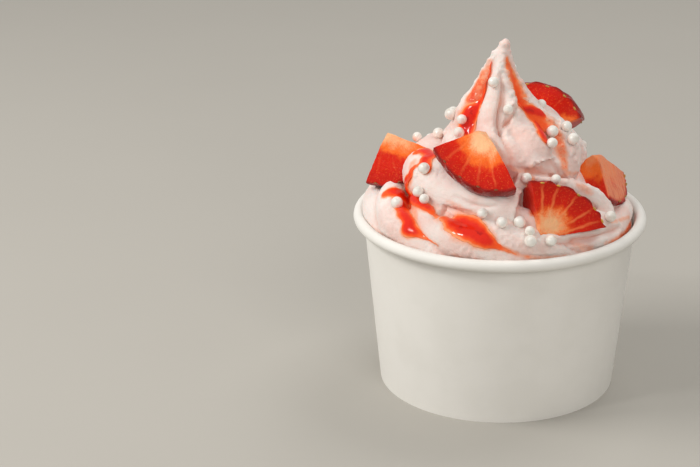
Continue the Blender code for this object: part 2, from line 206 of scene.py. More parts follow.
class Finish:
    def __init__(self, name, **values):
        self.material = bpy.data.materials.new(name)
        self.material.use_nodes = True
        self.tree = self.material.node_tree
        self.shader = self.tree.nodes["Principled BSDF"]
        self.wear(**values)

    def feed(self, socket, value):
        if isinstance(value, Wire):
            self.tree.links.new(value.socket, socket)
        elif isinstance(value, tuple) and len(value) == 3 and len(socket.default_value) == 4:
            socket.default_value = (*value, 1.0)
        else:
            socket.default_value = value

    def add(self, kind, settings, sockets, output=0):
        node = self.tree.nodes.new(kind)
        for key, value in settings.items():
            setattr(node, key, value)
        for key, value in sockets.items():
            self.feed(node.inputs[key], value)
        return Wire(self, node.outputs[output])

    def calc(self, operation, *values):
        return self.add("ShaderNodeMath", {"operation": operation}, dict(enumerate(values)))

    def place(self):
        return self.add("ShaderNodeTexCoord", {}, {}, "Object")

    def value(self, name):                # a value kept on the mesh
        return self.add("ShaderNodeAttribute", {"attribute_name": name}, {}, "Fac")

    def grain(self, at, size, detail=2.0, roughness=0.5):
        return self.add("ShaderNodeTexNoise", {}, {"Vector": at, "Scale": 1.0 / size, "Detail": detail,
                                                   "Roughness": roughness})

    def cells(self, at, size):
        return self.add("ShaderNodeTexVoronoi", {}, {"Vector": at, "Scale": 1.0 / size}, "Distance")

    def blend(self, factor, first, second):
        return self.add("ShaderNodeMix", {"data_type": "RGBA"}, {0: factor, 6: first, 7: second}, 2)

    def relief(self, height, depth):
        return self.add("ShaderNodeBump", {}, {"Height": height, "Distance": depth, "Strength": 1.0})

    def wear(self, **values):             # numbers, or what varies over the surface
        for key, value in values.items():
            self.feed(self.shader.inputs[key.replace("_", " ")], value)
        return self.material


def dress(piece, material, slot, *nodes):
    piece.data.materials.clear()
    piece.data.materials.append(material)
    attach(piece, "root")
    if nodes:
        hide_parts(*nodes)


cup = {
    "height": 59.0, "rimRadius": 48.0, "footRadius": 39.0, "paper": 0.5,
    "curlRadius": 1.9, "curlTurn": 295.0, "curlSteps": 22,
    "foldHeight": 5.0, "foldRoom": 1.2,
    "sides": 240, "wallRings": 14, "smoothAngle": 40,
    "seamAzimuth": 163.0, "seamWidth": 7.0, "seamStep": 0.35,     # the wall laps over itself here
    "white": (0.83, 0.81, 0.765), "shade": (0.78, 0.76, 0.71),
    "fibreSize": 0.9, "cloudSize": 14.0, "fibreDepth": 0.03,
}


def wallRadius(height):                   # middle of the paper
    top = cup["rimRadius"] - 2 * cup["curlRadius"] + cup["paper"] / 2
    curlLevel = cup["height"] - cup["curlRadius"]
    foot = cup["footRadius"] - cup["paper"] / 2
    return foot + (top - foot) * height / curlLevel


def cupLine():
    half = cup["paper"] / 2
    fold = cup["foldRoom"] + cup["paper"]
    line = [(wallRadius(cup["foldHeight"]) - fold, cup["foldHeight"]),
            (wallRadius(half) - fold, half), (wallRadius(half), half)]
    curlLevel = cup["height"] - cup["curlRadius"]
    for i in range(1, cup["wallRings"]):
        height = curlLevel * i / cup["wallRings"]
        line.append((wallRadius(height), height))
    middle = cup["curlRadius"] - half
    for i in range(cup["curlSteps"] + 1):
        angle = math.radians(180.0 - cup["curlTurn"] * i / cup["curlSteps"])
        line.append((cup["rimRadius"] - cup["curlRadius"] + middle * math.cos(angle),
                     curlLevel + middle * math.sin(angle)))
    return line


def makeCupWall():
    wall = makeRound(cupLine(), cup["sides"], "NOTHING", bpy.ops.mesh.extrude_edges_move)
    faceOutwards(wall)
    points = readPoints(wall.data)
    radius = np.hypot(points[:, 0], points[:, 1])
    azimuth = np.degrees(np.arctan2(points[:, 0], -points[:, 1]))
    along = np.radians(azimuth - cup["seamAzimuth"]) * radius / mm      # past the seam, in mm
    lap = asShare(1.0 - along / cup["seamWidth"]) * (along > 0.0)
    swell = 1.0 + lap * cup["seamStep"] * mm / radius
    points[:, :2] *= swell[:, None]
    writePoints(wall.data, points)
    paper = wall.modifiers.new("Paper", "SOLIDIFY")
    paper.thickness = cup["paper"] * mm
    paper.offset = 0.0
    paper.use_even_offset = True
    applyAll(wall)
    smoothUpTo(wall, cup["smoothAngle"])
    wall.name = "paperCup"
    return wall


def paperFinish():
    look = Finish("coatedPaper", Coat_Weight=0.12, Coat_Roughness=0.35, Specular_IOR_Level=0.4)
    at = look.place()
    fibres = look.grain(at, cup["fibreSize"] * mm, 4.0, 0.6)
    clouds = look.grain(at, cup["cloudSize"] * mm, 3.0)
    colour = look.blend(clouds.fade(0.35, 0.7) * 0.6, cup["white"], cup["shade"])
    height = fibres * 0.7 + clouds * 0.3
    return look.wear(Base_Color=colour, Roughness=0.44 + fibres * 0.14,
                     Normal=look.relief(height, cup["fibreDepth"] * mm))


paperCup = makeCupWall()
paper = paperFinish()
dress(paperCup, paper, "cup_paper", "cup_wall")
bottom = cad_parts["cup_bottom"]
bottom.data.materials.clear()
bottom.data.materials.append(paper)
print("paper cup made")


swirl = {
    "voxel": 0.5, "softenRounds": 3, "coreSides": 96, "strokeBevel": 12, "strokeSteps": 16,
    "cutLevel": 50.0, "floorLevel": 6.8, "overhang": 1.0, "smoothAngle": 60,
    # height and radius of the cone, and how far its axis leans to the right at each height
    "coneOutline": ((70, 28), (76, 25.8), (80, 24.4), (84, 23), (88, 20), (92, 16), (96, 12.9), (100, 9.7),
                    (104, 7.1), (108, 4.9), (112, 3.1), (116.5, 1.3)),
    "coneLean": ((70, 3.2), (84, 2.8), (88, 1.4), (92, -0.6), (108, -1.0), (112, -0.7), (116, 1.1)),
    "ringOutline": ((46, 42.6), (50, 43.4), (57, 44.3), (60.8, 44.3), (64.4, 42.8), (68.5, 38.5),
                    (71.5, 33.5), (74, 28)),
    "ringLean": ((0, -0.8),),
    # pleats of the cone as azimuth, height, thickness, from the top down
    "pleats": (
        ((-66, 114, 1.2), (-76, 108, 2.6), (-80, 102, 4), (-82, 96, 5.8), (-82, 91, 7), (-72, 86, 7.6),
         (-54, 81.5, 7.6)),
        ((14, 113.5, 1.2), (2, 107, 2.4), (-8, 101, 3.8), (-13, 96, 5), (-12, 91, 5.8), (0, 86.5, 6),
         (12, 82, 6)),
        ((28, 113, 1), (25, 107, 1.8), (23, 102, 2.2), (22, 98, 2.2)),
        ((28, 100, 0.4), (27, 96.8, 3.2), (25, 93, 6.4), (22, 88.6, 9), (22, 84.4, 10), (24, 80, 9.4),
         (28, 75.5, 6.6)),
        ((80, 113.5, 0.8), (78, 108, 1.8), (74, 103, 2.8), (72, 98, 3.8), (74, 94, 4.6), (80, 89, 5.8),
         (84, 85, 6)),
        ((108, 92, 1.5), (98, 89.6, 4.4), (86, 86.8, 6.4), (73, 83.2, 7.4), (58, 79.6, 7.4), (42, 77.5, 6)),
    ),
    "backPleatStarts": (125, 178, 232),
    "backPleat": ((-6, 113.5, 1.2), (-6, 107, 2.2), (-4, 101, 3.8), (0, 95, 5.6), (8, 88, 7.4),
                  (20, 81, 7.8)),
    "ribStarts": (-95, -58, -20, 11, 40, 68, 100, 133, 166, 199, 232),
    "rib": ((-32, 71.8, 3.0), (-15, 68.5, 4.8), (0, 64.2, 5.8), (14, 60.2, 6.2), (30, 55, 6.2),
            (42, 50, 6.0)),
    "ribDip": 4.5, "ribDipAzimuth": 88, "ribDipSpread": 36,             # the ribs lie lower at the right
    # rolls between cone and ring as azimuth, radius, height, thickness
    "rolls": (
        ((-170, 21, 71, 8), (-130, 22, 72.5, 8.4), (-90, 23, 73, 8.4), (-58, 25, 72.6, 8.4),
         (-28, 26, 71.2, 8.6), (-3, 28, 69.6, 8.2), (11, 29.5, 68.6, 7.6)),
        ((10, 20, 75, 7), (30, 22.5, 71.5, 7), (50, 25.5, 66.5, 7), (66, 28, 61.5, 6.5), (82, 30, 56.5, 6)),
        ((24, 26, 78, 1), (38, 27.6, 76, 2), (54, 30, 72.8, 2.6), (64, 33.6, 69.2, 2.6),
         (67, 36.4, 65.6, 2.4), (66, 38.6, 63, 1.8)),
        ((60, 38.6, 58, 3), (74, 39.6, 59.4, 3.5), (90, 40, 59.6, 3.6), (106, 39.4, 57.8, 3)),
    ),
    "backRollStarts": (100, 142),
    "backRoll": ((0, 21, 77, 7), (25, 24, 74, 8.5), (50, 27, 70.5, 9), (75, 30, 65, 8)),
    "tip": ((1.2, 0.3, 98, 4.6), (-0.2, 0.2, 105, 3.4), (-0.8, 0, 109.5, 2.9), (-0.4, 0, 112.1, 2.3),
            (0.7, 0, 115, 1.6), (1.4, 0, 116.3, 1.1)),
    "core": ((1, 110), (3, 104), (6.5, 98), (12, 90), (17, 83), (22, 77), (26, 72), (30, 67),
             (34, 62.5), (39.5, 57.5), (42.8, 53), (42.4, 45)),
    # fold is a painted shade colour, laid darker and warmer into the creases
    "pale": (0.84, 0.745, 0.70), "pink": (0.80, 0.565, 0.505), "fold": (0.80, 0.38, 0.28),
    "cloudSize": 12.0, "iceSize": 0.5, "crystalSize": 0.7, "streakSize": 2.2, "iceDepth": 0.28,
}


def between(value, table):                # a table of key and result, read between its keys
    keys, results = zip(*table)
    return float(np.interp(value, keys, results))


def roundAxis(azimuth, radius, height, lean=0.0):
    angle = math.radians(azimuth)
    return Vector((lean + radius * math.sin(angle), -radius * math.cos(angle), height))


# centre of a stroke that touches an outline from inside
def insideOutline(outline, lean, azimuth, height, thickness):
    half = 0.5                             # of a millimetre, so this is the slope over 1 mm
    slope = between(height + half, outline) - between(height - half, outline)
    length = math.hypot(1.0, slope)
    radius = max(between(height, outline) - thickness / length, 0.0)
    level = height + thickness * slope / length
    return (*roundAxis(azimuth, radius, level, between(level, lean)), thickness)


def ribDip(x, y):
    away = (math.degrees(math.atan2(x, -y)) - swirl["ribDipAzimuth"]) / swirl["ribDipSpread"]
    return swirl["ribDip"] * math.exp(-away ** 2)


def strokeRows():
    cone = (swirl["coneOutline"], swirl["coneLean"])
    ring = (swirl["ringOutline"], swirl["ringLean"])
    rows = [swirl["tip"]]
    for pleat in swirl["pleats"]:
        rows.append([insideOutline(*cone, *point) for point in pleat])
    for start in swirl["backPleatStarts"]:
        rows.append([insideOutline(*cone, start + a, h, t) for a, h, t in swirl["backPleat"]])
    for start in swirl["ribStarts"]:
        row = [insideOutline(*ring, start + a, h, t) for a, h, t in swirl["rib"]]
        rows.append([(x, y, z - ribDip(x, y), t) for x, y, z, t in row])
    for roll in swirl["rolls"]:
        rows.append([(*roundAxis(a, r, h), t) for a, r, h, t in roll])
    for start in swirl["backRollStarts"]:
        rows.append([(*roundAxis(start + a, r, h), t) for a, r, h, t in swirl["backRoll"]])
    return rows


def makeStroke(row):
    bpy.ops.curve.primitive_bezier_curve_add(radius=mm)
    stroke = bpy.context.object
    curve = stroke.data
    curve.bevel_depth = mm
    curve.bevel_resolution = swirl["strokeBevel"]
    curve.resolution_u = swirl["strokeSteps"]
    curve.use_fill_caps = True
    knots = curve.splines[0].bezier_points
    knots.add(len(row) - 2)
    for knot, (x, y, z, thickness) in zip(knots, row):
        knot.co = Vector((x, y, z)) * mm
        knot.radius = thickness
        knot.handle_left_type = "AUTO"
        knot.handle_right_type = "AUTO"
    return stroke


def keepInCup(points):
    radius = np.hypot(points[:, 0], points[:, 1]) / mm
    height = points[:, 2] / mm
    curlLevel = cup["height"] - cup["curlRadius"]
    reach = cup["curlRadius"] + gap
    rise = np.clip(height - curlLevel, 0.0, reach)
    inCurl = cup["rimRadius"] - cup["curlRadius"] - np.sqrt(reach ** 2 - rise ** 2)
    limit = np.where(height < curlLevel, wallRadius(height) - cup["paper"] / 2 - gap, inCurl)
    limit = np.where(height > cup["height"] + gap, cup["rimRadius"] - swirl["overhang"], limit)
    points[:, :2] *= np.minimum(1.0, limit / np.maximum(radius, 1e-6))[:, None]
    return points


def makeIceCream():
    bpy.ops.object.select_all(action="DESELECT")
    strokes = [makeStroke(row) for row in strokeRows()]
    selectOnly(*strokes)
    bpy.ops.object.convert(target="MESH")
    core = makeRound(swirl["core"], swirl["coreSides"], "NGON", bpy.ops.mesh.extrude_region_move)
    ice = joinPieces([core] + strokes, "iceCream")
    fuseSkin(ice, swirl["voxel"] * mm, swirl["softenRounds"])
    setMode("EDIT")
    cutOff((0, 0, swirl["cutLevel"] * mm), (0, 0, 1))
    setMode("OBJECT")
    return ice


iceCream = makeIceCream()
print("ice cream made,", len(iceCream.data.polygons), "faces")


torn = {
    "ridgeRounds": 12, "ridgeFrom": 0.08, "ridgeSpan": 0.30,
    "lumpSize": 9.0, "lumpHeight": 0.32,
    # frills along the ridges, lower on the ribs than on the cone
    "frillSize": 1.9, "crumbSize": 1.0, "crumbShare": 0.6, "frillHeight": 1.4, "frillOut": 0.15,
    "frillIn": -0.25, "lowShare": 0.45, "highFrom": 72.0, "highSpan": 20.0,
    # fine grain all over, more of it in icy patches
    "grainSize": 1.15, "grainHeight": 0.22, "grainLeast": 0.35,
    "patchSize": 7.0, "patchGain": 2.0, "patchShift": 0.3,
    # all of it fades out towards the rim and the tip
    "bumpHeight": 0.6, "rimFade": 1.0, "tipLevel": 117.0, "fadeOver": 4.0,
    # folds between strokes as azimuth, level, half width, depth
    "grooves": (
        ((-8, 102, 0.8, 0.5), (-1, 97, 1.2, 1), (0, 90.5, 1.5, 1.6), (-2, 84, 1.7, 2.3),
         (-3, 78, 1.8, 2.6), (-1, 74.5, 1.7, 1.8)),
        ((23, 85.6, 0.9, 0.8), (11, 81.6, 1.2, 1.5), (3, 77.4, 1.4, 1.8), (-1, 74.5, 1.7, 2),
         (1, 71.5, 1.8, 1.6), (5, 65.6, 1.8, 1.1), (7, 60, 1.5, 0.7)),
        ((-24, 40.4, 1, 0.5), (-15, 38, 1.2, 0.8), (-7, 37.2, 1.2, 0.8), (0, 38.1, 1, 0.5)),
        ((-31, 28.6, 0.9, 0.6), (-30, 35.6, 1.3, 1.3), (-23, 34.9, 1.4, 1.5), (-15, 34, 1.3, 1.3),
         (-9, 32.9, 1, 0.6)),
        ((23, 20.4, 1.2, 0.8), (26, 19.2, 1.7, 1.7), (34, 19.4, 1.9, 2.2), (40, 19, 1.9, 2.2),
         (47, 18.7, 1.8, 2), (57, 18.7, 1.7, 1.8), (67, 17.6, 1.2, 0.8)),
        ((30, 17.7, 1.2, 1), (33, 15.8, 1.5, 1.6), (37, 13.9, 1.2, 0.8)),
        ((1, 19.2, 0.8, 0.2), (11, 16, 0.9, 0.5), (22, 14.9, 0.9, 0.5), (32, 14.6, 0.8, 0.2)),
        ((13, 57.5, 0.9, 0.5), (20, 56.3, 1.2, 1.2), (30, 55.2, 1.3, 1.5), (40, 53, 1.2, 1.2),
         (50, 51, 0.8, 0.5)),
    ),
    # icy knobs as azimuth, level, half width
    "bumps": ((65, 72, 1.5), (62, 66, 1.3), (69, 67, 1.6), (68, 63, 1.3), (65, 58, 1.4), (63, 54, 1.1),
              (74, 70, 1.2), (72, 65, 1.1), (77, 66, 1.3), (76, 61, 1), (71, 59, 1.2), (60, 62, 0.9),
              (61, 57, 1), (70, 74, 1), (80, 71, 1.1), (67, 76, 0.9), (-78, 68, 1.2),
              (-72, 72, 1), (-50, 66, 0.9), (-60, 52, 1), (-55, 44, 1), (30, 57, 0.9),
              (52, 47, 0.9), (170, 76, 1.4), (176, 70, 1.2), (200, 90, 1.3), (226, 80, 1.1)),
}


def meshTree(piece):
    return BVHTree.FromObject(piece, bpy.context.evaluated_depsgraph_get())


def landing(tree, azimuth, level):        # the line aims at the axis at this level
    reach = 60.0
    start = roundAxis(azimuth, reach, level + reach) * mm
    aim = Vector((0, 0, level * mm)) - start
    return tree.ray_cast(start, aim.normalized())[:2]


def furthestIn(count, covers):            # of several runs, the one that a point is furthest inside
    cover = np.full(count, -1.0)
    deep = np.zeros(count)
    for here, depth in covers:
        better = here > cover
        cover = np.where(better, here, cover)
        deep = np.where(better, depth, deep)
    return cover, deep


def runCover(tree, points, run, wobble):  # how far inside a run each point is, and the run's depth there
    steps = 5                             # between two places of the run
    places = []
    for row, nextRow in zip(np.array(run, float), np.array(run[1:], float)):
        for i in range(steps):
            azimuth, level, half, depth = row + (nextRow - row) * (i / steps)
            places.append((np.array(landing(tree, azimuth, level)[0]), half, depth))
    legs = []
    for (start, half, depth), (end, nextHalf, nextDepth) in zip(places, places[1:]):
        along = end - start
        t = asShare((points - start) @ along / max(along @ along, 1e-12))
        away = np.linalg.norm(points - start - t[:, None] * along, axis=1)
        here = 1.0 - away / ((half + (nextHalf - half) * t) * (1.0 + wobble) * mm)
        legs.append((here, depth + (nextDepth - depth) * t))
    return furthestIn(len(points), legs)


def roughen(ice):
    mesh = ice.data
    points = readPoints(mesh)
    normals = readNormals(mesh)
    height = points[:, 2] / mm
    means = neighbourMeans(mesh, points, torn["ridgeRounds"])
    ridge = np.sum((points - means) * normals, axis=1) / mm
    edge = asShare((ridge - torn["ridgeFrom"]) / torn["ridgeSpan"])
    high = asShare((height - torn["highFrom"]) / torn["highSpan"])
    share = torn["lowShare"] + (1.0 - torn["lowShare"]) * high
    lumps = noiseAt(points, torn["lumpSize"] * mm, 1) * torn["lumpHeight"]
    crumbs = torn["crumbShare"] * noiseAt(points, torn["crumbSize"] * mm, 3)
    frill = noiseAt(points, torn["frillSize"] * mm, 2) + crumbs
    push = lumps + edge * share * np.maximum(frill + torn["frillOut"], torn["frillIn"]) * torn["frillHeight"]
    patches = noiseAt(points, torn["patchSize"] * mm, 5) * torn["patchGain"] + torn["patchShift"]
    grain = noiseAt(points, torn["grainSize"] * mm, 4) * torn["grainHeight"]
    push += grain * (torn["grainLeast"] + asShare(patches))
    tree = meshTree(ice)
    for azimuth, level, half in torn["bumps"]:
        away = np.linalg.norm(points - np.array(landing(tree, azimuth, level)[0]), axis=1) / (half * mm)
        push += np.sqrt(asShare(1.0 - away ** 2)) * half * torn["bumpHeight"]
    for groove in torn["grooves"]:
        cover, depth = runCover(tree, points, groove, 0.0)
        push -= asShare(cover) * depth
    push *= asShare((height - swirl["cutLevel"] - torn["rimFade"]) / torn["fadeOver"])
    push *= asShare((torn["tipLevel"] - height) / torn["fadeOver"])
    writePoints(mesh, keepInCup(points + normals * push[:, None] * mm))


def closeBelow(ice):                      # the hidden part, straight down to the bottom of the cup
    level = swirl["cutLevel"] * mm
    near = 0.01 * mm
    selectOnly(ice)
    setMode("EDIT")
    work = bmesh.from_edit_mesh(ice.data)
    bpy.ops.mesh.select_mode(type="FACE")
    for face in work.faces:
        face.select_set(face.normal.z < -0.9 and abs(face.calc_center_median().z - level) < near)
    bmesh.update_edit_mesh(ice.data)
    scale = wallRadius(swirl["floorLevel"]) / wallRadius(swirl["cutLevel"])
    growOn(bpy.ops.mesh.extrude_region_move, swirl["floorLevel"] - swirl["cutLevel"], scale)
    setMode("OBJECT")


roughen(iceCream)
surface = meshTree(iceCream)
print("ice cream roughened")


sauce = {
    "height": 0.75, "sink": 0.06, "tuckUnder": 0.25, "skin": 0.3, "outerCover": -0.12, "smoothRounds": 3,
    "wobble": 0.2, "wobbleSize": 3.2, "runSeed": 5, "stainAndShadeSeed": 6,
    # the stain under a run and round it, and how far inside a stain, painted shade included, it has its full
    # strength
    "underFrom": -0.35, "underSpan": 0.7, "underLeast": 0.35, "stainAndShadeSpan": 0.55, "stainAndShadeRounds": 2,
    "creaseShadeRounds": 30, "creaseShadeSpan": 1.1,                             # painted shade in the creases: creases this deep are darkest
    # each run as azimuth, level, half width, depth
    "runs": (
        ((-58, 106, 0.5, 0.5), (-50, 101, 0.6, 0.6), (-51, 96, 0.7, 0.6), (-46, 90.5, 1, 0.7),
         (-50, 86, 2.4, 0.9), (-56, 82, 3.3, 1), (-58, 78, 3.4, 1), (-53, 74.5, 3.2, 1)),
        ((24, 107.5, 1.2, 0.3), (39, 100, 2.2, 0.4), (42, 93, 3, 0.4), (44, 87.5, 3.2, 0.4)),
        ((34, 86.5, 1.2, 0.7), (43, 85.5, 2.2, 1), (54, 84, 2.4, 1), (63, 80.5, 1.8, 1), (67, 78, 1, 0.7)),
        ((46, 83, 2.2, 0.4), (55, 79.5, 3, 0.45), (62, 74, 2.4, 0.35)),
        ((52, 78, 1.8, 0.9), (52, 75, 2.5, 1), (46, 71, 2.6, 1), (43, 66.5, 1.4, 0.8)),
        ((-76, 52, 1.4, 0.5), (-72, 55.5, 2.4, 0.9), (-62, 56, 2.6, 0.9), (-57, 52, 2.6, 0.8),
         (-46, 47.5, 1.6, 0.6)),
        ((-60, 48, 1, 0.4), (-62, 45, 1.3, 0.6), (-60, 42.5, 1.5, 0.7), (-66, 38.5, 2.4, 0.8)),
        ((-69, 29.5, 2, 0.6), (-68, 33, 3.2, 0.9), (-66, 37, 3.2, 0.9), (-58, 35, 3.6, 1),
         (-50, 35, 2.4, 0.8), (-44, 33.5, 2, 0.8), (-37, 32.8, 2, 0.8), (-32, 30.4, 1.1, 0.35),
         (-29, 30, 1.4, 0.3)),
        ((-62, 31, 2.4, 0.7), (-55, 29, 2.6, 0.8), (-49, 26.5, 2.4, 0.8), (-43, 23.8, 2.2, 0.9),
         (-41, 20.5, 3, 1), (-37, 20.3, 2, 0.7), (-31, 19.3, 0.8, 0.25), (-24, 17, 0.6, 0.15)),
        ((-27, 31, 2.4, 0.35), (-22, 29.5, 4, 0.9), (-16, 27.5, 4.9, 1), (-10, 25, 4.6, 1),
         (-6, 22, 3.2, 1), (-2, 20, 1.6, 0.6), (3, 18.3, 0.8, 0.25), (9, 16.5, 0.6, 0.15)),
        ((150, 104, 0.8, 0.4), (148, 92, 1.6, 0.5), (150, 80, 3, 1), (154, 70, 3.4, 1), (156, 62, 1.6, 0.8)),
        ((196, 66, 1.2, 0.6), (206, 56, 3, 0.9), (214, 44, 4.2, 1), (224, 32, 4.4, 1), (236, 22, 2.4, 0.9),
         (246, 18, 0.8, 0.5)),
    ),
    # where juice stains the ice cream, and where painted shade darkens it, as azimuth, level, half width,
    # strength
    "stainsAndShade": (
        # painted shade: a faint pink over the cone's shaded lobe
        ((22, 97, 3, 0.12), (22, 88, 9, 0.12), (22, 80, 10, 0.1), (30, 74, 6, 0.12)),
        ((-14, 100, 3, 0.16), (-14, 90, 6, 0.2), (0, 82, 6, 0.16)),
        ((-62, 105, 1.4, 0.4), (-64, 98, 2.6, 0.75), (-62, 92, 3.4, 0.9), (-62, 86, 3.8, 0.95)),
        ((-60, 80, 4.6, 0.7), (-55, 74, 4.4, 0.7)),
        ((24, 108, 1.6, 0.7), (38, 101, 2.8, 0.8), (42, 94, 3.8, 0.85), (44, 87, 4.2, 0.85)),
        ((47, 84, 3.2, 0.7), (56, 80, 4, 0.8), (61, 76, 3.8, 0.8), (64, 71, 3.4, 0.75)),
        ((65, 68.5, 2.4, 0.7), (58, 62, 2.6, 0.75), (53, 56, 2.2, 0.7), (50, 52, 1.5, 0.7)),
        ((75, 79, 1, 0.4), (74, 75, 1.4, 0.4), (77, 71, 1, 0.4)),
        ((50, 51, 0.6, 0.7), (57, 49.6, 0.6, 0.7), (74, 47.5, 0.6, 0.6), (89, 46, 0.5, 0.5)),
        ((6, 59, 0.9, 0.4), (15, 56, 0.9, 0.45), (24, 57, 0.9, 0.45), (36, 56, 0.8, 0.4)),
        ((-66, 48, 3, 0.45), (-63, 45, 2, 0.6), (-60, 41, 3, 0.6), (-72, 37, 2.6, 0.5)),
        ((-58, 36, 5, 0.5), (-45, 30, 4, 0.55), (-42, 22, 3.6, 0.45)),
        ((-29, 30, 3, 0.5), (-22, 30, 5.4, 0.5), (-10, 25, 5.6, 0.45)),
        ((-29, 38, 0.9, 0.45), (-22, 37, 1, 0.45), (-15, 35, 1, 0.45), (-9, 33, 0.9, 0.4)),
        # juice and painted shade: the deep red in the crevice beside the right-front wedge
        ((22, 54, 1.4, 0.5), (21, 49, 2.2, 1.1), (21, 45, 2.6, 1.1), (21, 40, 2.4, 1), (16, 34, 1.6, 0.7)),
        ((51, 43, 1.6, 0.45), (56, 40, 2.2, 0.45), (59, 37, 1.4, 0.35)),
        # these two runs colour the ice deep orange-red along the right rim, where it meets the cup
        ((60, 22, 0.9, 0.5), (69, 20, 0.9, 0.6), (79, 17, 1, 0.6)),
        ((50, 15, 0.9, 0.5), (56, 14, 1.5, 0.7), (69, 14, 1.8, 0.8), (80, 14.5, 1.6, 1), (92, 16, 1.8, 1)),
        ((33, 19, 1.4, 0.35), (38, 16, 2.6, 0.4), (44, 14, 1.6, 0.4)),
        ((-18, 15, 1.4, 0.35), (-12, 14, 1.4, 0.35), (-5, 14, 1.2, 0.35)),
        ((-68, 14, 0.8, 0.3), (-62, 14, 0.9, 0.35), (-50, 14, 0.7, 0.25)),
        ((-4, 20.8, 1.2, 1), (1, 19.2, 0.9, 0.95), (6, 17.6, 0.7, 0.9), (11, 16, 0.6, 0.9),
         (16, 15.1, 0.6, 0.85), (22, 14.9, 0.55, 0.8), (27, 14.6, 0.5, 0.7), (32, 14.6, 0.5, 0.5)),
        ((130, 56, 1.6, 0.4), (128, 46, 2.4, 0.5), (134, 36, 1.4, 0.4)),
        ((176, 50, 1.4, 0.4), (184, 42, 2, 0.5), (192, 34, 1.2, 0.4)),
        ((150, 96, 2.4, 0.5), (150, 82, 4.2, 0.6), (156, 66, 4, 0.5)),
        ((204, 58, 4, 0.5), (216, 42, 5.6, 0.5), (232, 26, 4.6, 0.45)),
    ),
    "film": (0.93, 0.31, 0.13), "thin": (0.93, 0.10, 0.013), "full": (0.74, 0.017, 0.003),
    "deep": (0.48, 0.006, 0.002), "pulpSize": 1.6, "waveSize": 2.4, "waveDepth": 0.22,
}


def allCover(points, runs, seed):
    wobble = noiseAt(points, sauce["wobbleSize"] * mm, seed) * sauce["wobble"]
    return furthestIn(len(points), [runCover(surface, points, run, wobble) for run in runs])


def stainAndShadeIce(ice):
    points = readPoints(ice.data)
    cover, depth = allCover(points, sauce["runs"], sauce["runSeed"])
    under = asShare((cover - sauce["underFrom"]) / sauce["underSpan"])
    under *= sauce["underLeast"] + (1.0 - sauce["underLeast"]) * depth
    # juice stains, and painted shade on the cone's lobe and in the crevice by the right-front wedge
    cover, strength = allCover(points, sauce["stainsAndShade"], sauce["stainAndShadeSeed"])
    thin = asShare(cover / sauce["stainAndShadeSpan"]) * strength
    stain = neighbourMeans(ice.data, np.maximum(under, thin), sauce["stainAndShadeRounds"])
    writeValues(ice.data, "stain", np.where(points[:, 2] > swirl["cutLevel"] * mm, stain, 0.0))
    # painted shade: how deep each point sits in a crease, to darken the ice there
    means = neighbourMeans(ice.data, points, sauce["creaseShadeRounds"])
    creaseShade = np.sum((means - points) * readNormals(ice.data), axis=1) / mm
    writeValues(ice.data, "creaseShade", asShare(creaseShade / sauce["creaseShadeSpan"]))


def makeSauce(ice):
    selectOnly(ice)
    bpy.ops.object.duplicate()
    drops = bpy.context.object
    drops.name = "strawberrySauce"
    drops.data.name = "strawberrySauce"
    cover, _ = allCover(readPoints(drops.data), sauce["runs"], sauce["runSeed"])
    setMode("EDIT")
    work = bmesh.from_edit_mesh(drops.data)
    work.verts.ensure_lookup_table()
    bpy.ops.mesh.select_mode(type="VERT")
    for point in work.verts:
        point.select_set(bool(cover[point.index] < sauce["outerCover"]))
    work.select_flush_mode()
    bmesh.update_edit_mesh(drops.data)
    bpy.ops.mesh.delete(type="VERT")
    bpy.ops.mesh.select_all(action="SELECT")
    bpy.ops.mesh.delete_loose()
    bpy.ops.mesh.subdivide(number_cuts=1)
    setMode("OBJECT")
    mesh = drops.data
    rounds = sauce["smoothRounds"]
    points = neighbourMeans(mesh, readPoints(mesh), rounds)
    writePoints(mesh, points)
    normals = neighbourMeans(mesh, readNormals(mesh), rounds)
    normals /= np.linalg.norm(normals, axis=1)[:, None]
    cover, depth = allCover(points, sauce["runs"], sauce["runSeed"])
    inside = asShare(cover)
    rise = neighbourMeans(mesh, inside * (2.0 - inside) * depth, rounds)
    lift = rise * sauce["height"] - sauce["sink"] - sauce["tuckUnder"] * asShare(-cover)
    writePoints(mesh, points + normals * lift[:, None] * mm)
    writeValues(mesh, "depth", rise)
    writeValues(mesh, "edge", inside)
    skin = drops.modifiers.new("Skin", "SOLIDIFY")
    skin.thickness = sauce["skin"] * mm
    skin.offset = -1.0
    applyAll(drops)
    bpy.ops.object.shade_smooth()
    return drops


def sauceFinish():
    look = Finish("strawberrySauce", Coat_Roughness=0.03, Coat_IOR=1.42, Specular_IOR_Level=0.15)
    at = look.place()
    depth = look.value("depth")
    edge = look.value("edge")
    pulp = look.grain(at, sauce["pulpSize"] * mm, 3.0)
    seen = depth * edge.fade(-0.05, 0.35) + (pulp - 0.5) * 0.35
    colour = look.blend(seen.fade(0.05, 0.42), sauce["film"], sauce["thin"])
    colour = look.blend(seen.fade(0.38, 0.80), colour, sauce["full"])
    colour = look.blend(seen.fade(0.78, 1.1) * pulp.fade(0.5, 0.66), colour, sauce["deep"])
    waves = look.grain(at, sauce["waveSize"] * mm, 2.0, 0.4)
    return look.wear(Base_Color=colour, Roughness=0.35 + pulp * 0.1, Coat_Weight=0.4 + depth * 0.5,
                     Alpha=edge.fade(0.0, 0.07), Normal=look.relief(waves, sauce["waveDepth"] * mm))


